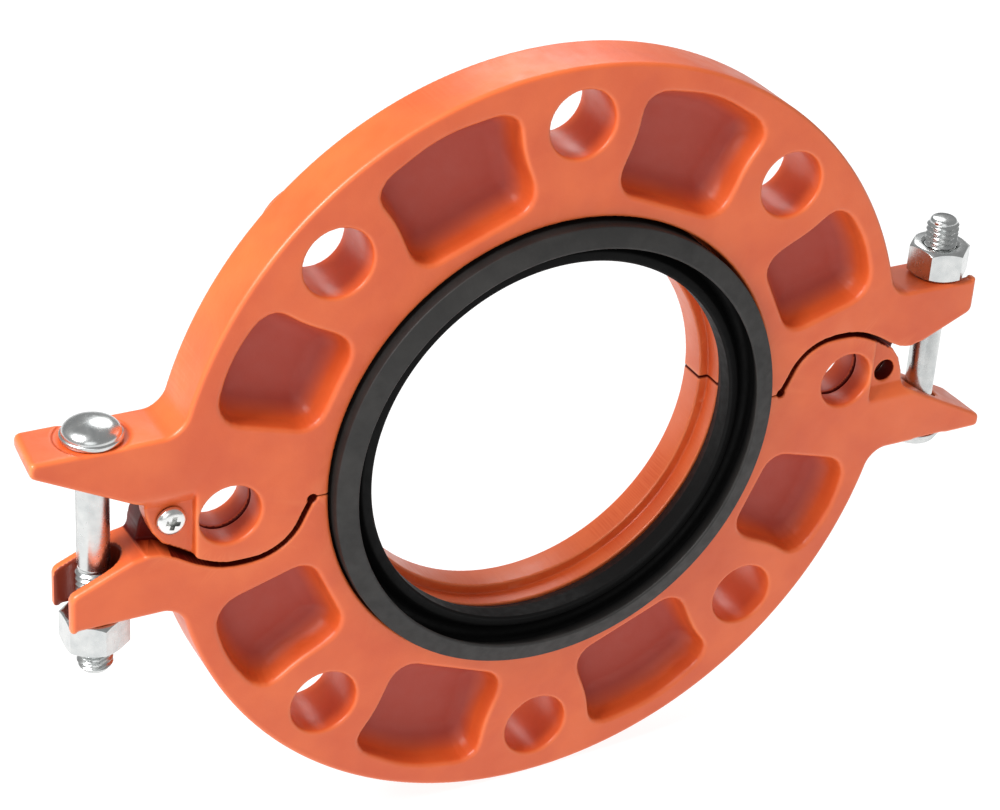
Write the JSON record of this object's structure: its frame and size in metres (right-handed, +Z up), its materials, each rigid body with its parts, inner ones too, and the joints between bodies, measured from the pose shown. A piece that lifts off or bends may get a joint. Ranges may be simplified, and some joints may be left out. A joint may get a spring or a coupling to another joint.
{
  "type": "grooved pipe flange adapter coupling",
  "caption": "Split flange adapter that clamps a grooved pipe end: two orange cast halves lapped and hinged round a rubber gasket, drawn together by closure bolts.",
  "frame": {"origin": "bore centre on the mating face plane", "axes": "+Y along the pipe axis, from the mating face into the coupling; +Z up, along the closure bolts; +X to the right when facing the mating face"},
  "size_m": [0.2958, 0.0316, 0.223],
  "materials": {
    "orange_casting": "orange enamel over rough cast ductile iron",
    "gasket_rubber": "matt moulded black rubber",
    "closure_zinc": "bright zinc plated steel",
    "screw_zinc": "zinc plated steel screw"
  },
  "bodies": {
    "lower_half": {"lower_half": "orange_casting", "gasket": "gasket_rubber", "hinge_screw": "screw_zinc"},
    "upper_half": {"upper_half": "orange_casting", "left_closure_bolt": "closure_zinc"},
    "left_nut": {"left_closure_nut": "closure_zinc"},
    "right_bolt": {"right_closure_bolt": "closure_zinc"},
    "right_nut": {"right_closure_nut": "closure_zinc"}
  },
  "joints": [
    {"name": "clamp_hinge", "type": "hinge", "parent": "lower_half", "child": "upper_half", "pos_m": [-0.1107, 0.0085, 0.0011], "axis": [0, -1, 0], "range_deg": [0, 2]},
    {"name": "left_nut_run", "type": "slide", "parent": "upper_half", "child": "left_nut", "axis": [0, 0, -1], "range_m": [0, 0.0083]},
    {"name": "right_bolt_swing", "type": "hinge", "parent": "lower_half", "child": "right_bolt", "pos_m": [0.1291, 0.0085, -0.0264], "axis": [0, -1, 0], "range_deg": [0, 1.3]},
    {"name": "right_nut_run", "type": "slide", "parent": "right_bolt", "child": "right_nut", "axis": [0, 0, 1], "range_m": [0, 0.0085]}
  ],
  "couplings": [
    {"joint": "right_bolt_swing", "follows": "clamp_hinge", "ratio": 0.63},
    {"joint": "right_nut_run", "follows": "clamp_hinge", "m_per_rad": 0.241}
  ]
}
